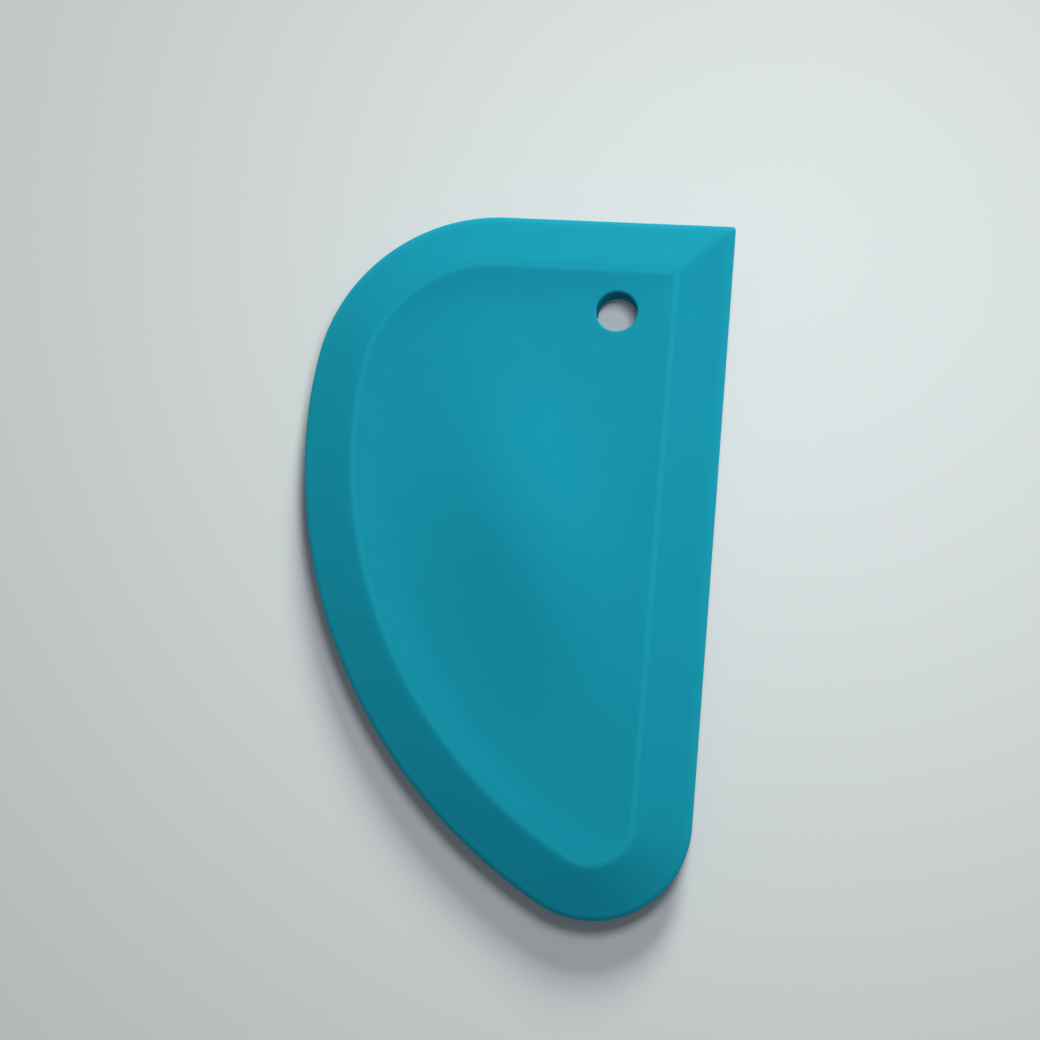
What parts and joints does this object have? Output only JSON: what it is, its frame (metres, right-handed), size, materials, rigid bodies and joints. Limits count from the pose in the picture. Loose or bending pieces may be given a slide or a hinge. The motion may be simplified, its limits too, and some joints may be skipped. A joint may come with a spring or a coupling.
{
  "type": "bowl scraper",
  "caption": "Flat, flexible silicone bowl scraper with a stiff insert: a straight edge and a curved edge with bevelled rims, a low palm swell and a hang hole.",
  "frame": {"origin": "middle of the part's box, on the surface that it lies on", "axes": "+X towards the straight scraping edge, +Y towards the end with the hang hole, +Z out of the front face"},
  "size_m": [0.115, 0.19, 0.0122],
  "materials": {
    "silicone": "matt moulded silicone",
    "nylon": "natural nylon, as moulded"
  },
  "bodies": {
    "root": {"front_skin": "silicone", "back_skin": "silicone", "stiffener_plate": "nylon"}
  },
  "joints": []
}
